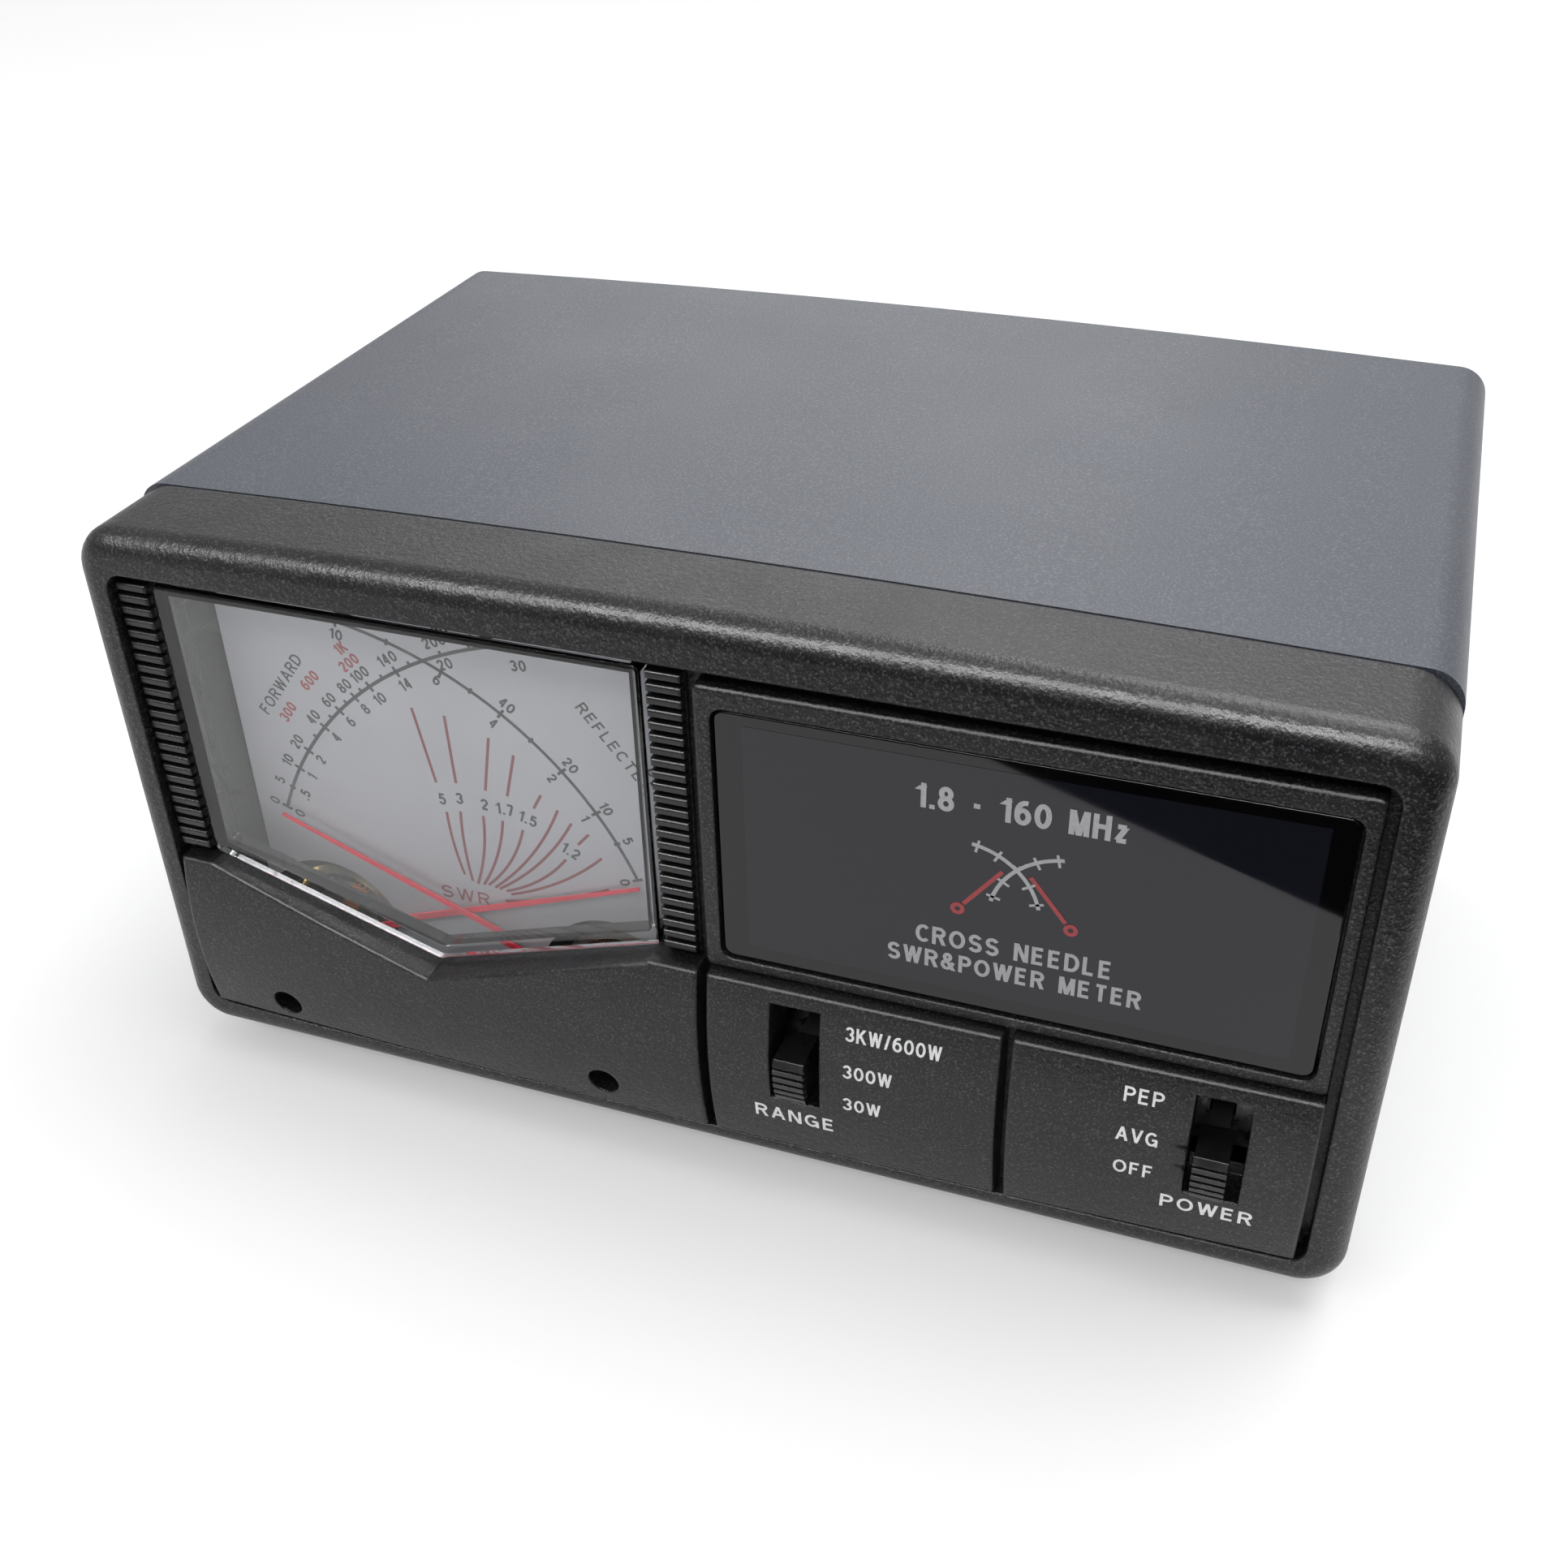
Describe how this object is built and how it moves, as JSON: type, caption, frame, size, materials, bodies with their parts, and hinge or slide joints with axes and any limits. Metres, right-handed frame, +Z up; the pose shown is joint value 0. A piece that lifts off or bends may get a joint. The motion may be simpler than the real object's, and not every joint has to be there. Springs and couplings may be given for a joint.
{
  "type": "swr meter",
  "caption": "Cross-needle SWR and power meter: wide low case, twin-needle dial behind a clear five-sided lens, smoked window, two slide switches, two rear coaxial sockets.",
  "frame": {"origin": "middle of the bounding box at the bottom of the feet", "axes": "+X to the right seen from the front, +Y from the front panel back to the rear sockets, +Z up"},
  "size_m": [0.155, 0.1174, 0.0802],
  "materials": {
    "bezel_plastic": "fine sparkle texture, satin black",
    "panel_plastic": "fine texture, satin black",
    "gloss_black": "smooth black",
    "cover_paint": "bluish charcoal baked paint, fine grain",
    "zinc_steel": "zinc plated sheet",
    "black_screw": "black oxide",
    "bright_screw": "zinc plated",
    "rubber": "matt",
    "smoked_acrylic": "polished",
    "window_print": "printed card",
    "clear_plastic": "polished clear",
    "meter_housing": "moulded",
    "dial_paint": "satin pale grey with print",
    "brass": "turned",
    "copper_wire": "enamelled winding",
    "needle_red": "satin red",
    "magnet_steel": "plated",
    "circuit_board": "solder mask",
    "component_black": "moulded",
    "trimmer_blue": "moulded",
    "lamp_white": "diffuse",
    "socket_plate": "nickel plated",
    "insulator_white": "moulded",
    "gold_contact": "plated",
    "shield_tin": "tinned sheet",
    "ferrite": "matt",
    "cable_jacket": "smooth"
  },
  "bodies": {
    "case": {"front_bezel": "bezel_plastic", "top_cover": "cover_paint", "cover_screws": "black_screw", "chassis_tray": "zinc_steel", "rear_panel": "cover_paint", "rear_screws": "bright_screw", "feet": "rubber", "floor_screws": "bright_screw", "meter_panel": "panel_plastic", "range_panel": "panel_plastic", "power_panel": "panel_plastic", "window_frame": "bezel_plastic", "display_window": "smoked_acrylic", "window_card": "window_print", "rib_strips": "gloss_black", "meter_lens": "clear_plastic", "meter_case": "meter_housing", "boss_screws": "bright_screw", "meter_terminals": "brass", "dial_plate": "dial_paint", "dial_screws": "bright_screw", "lamp_board": "circuit_board", "dial_lamps": "lamp_white", "magnet_yokes": "magnet_steel", "magnet_cores": "magnet_steel", "movement_bridges": "brass", "switch_bodies": "bright_screw", "main_board": "circuit_board", "trimmers": "trimmer_blue", "board_parts": "component_black", "coax_sockets": "socket_plate", "socket_insulators": "insulator_white", "socket_contacts": "gold_contact", "supply_jack": "component_black", "jack_pin": "gold_contact", "jack_nut": "bright_screw", "coupler_box": "shield_tin", "coupler_lid": "shield_tin", "coupler_board": "circuit_board", "coupler_line": "copper_wire", "line_sleeve": "insulator_white", "coupler_toroid": "ferrite", "signal_cable": "cable_jacket", "cable_plug": "insulator_white"},
    "forward_pointer": {"forward_coil": "copper_wire", "forward_staff": "bright_screw", "forward_needle": "needle_red", "forward_counterweight": "brass", "forward_hairspring": "brass"},
    "reflected_pointer": {"reflected_coil": "copper_wire", "reflected_staff": "bright_screw", "reflected_needle": "needle_red", "reflected_counterweight": "brass", "reflected_hairspring": "brass"},
    "range_switch_knob": {"range_knob": "gloss_black", "range_slider": "component_black"},
    "power_switch_knob": {"power_knob": "gloss_black", "power_slider": "component_black"},
    "forward_adjuster": {"forward_zero_adjuster": "gloss_black"},
    "reflected_adjuster": {"reflected_zero_adjuster": "gloss_black"}
  },
  "joints": [
    {"name": "forward_needle_swing", "type": "hinge", "parent": "case", "child": "forward_pointer", "pos_m": [-0.01595, -0.04032, 0.0181], "axis": [0, 1, 0], "range_deg": [0, 58], "stiffness_Nm_per_rad": 0.00005},
    {"name": "reflected_needle_swing", "type": "hinge", "parent": "case", "child": "reflected_pointer", "pos_m": [-0.05765, -0.04032, 0.0181], "axis": [0, -1, 0], "range_deg": [0, 58], "stiffness_Nm_per_rad": 0.00005},
    {"name": "range_knob_slide", "type": "slide", "parent": "case", "child": "range_switch_knob", "axis": [0, 0, 1], "range_m": [0, 0.0068]},
    {"name": "power_knob_slide", "type": "slide", "parent": "case", "child": "power_switch_knob", "axis": [0, 0, 1], "range_m": [0, 0.0068]},
    {"name": "forward_adjuster_turn", "type": "hinge", "parent": "case", "child": "forward_adjuster", "pos_m": [-0.0135, -0.05132, 0.01205], "axis": [0, 1, 0], "range_deg": [-60, 60]},
    {"name": "reflected_adjuster_turn", "type": "hinge", "parent": "case", "child": "reflected_adjuster", "pos_m": [-0.0601, -0.05132, 0.01205], "axis": [0, 1, 0], "range_deg": [-60, 60]}
  ]
}
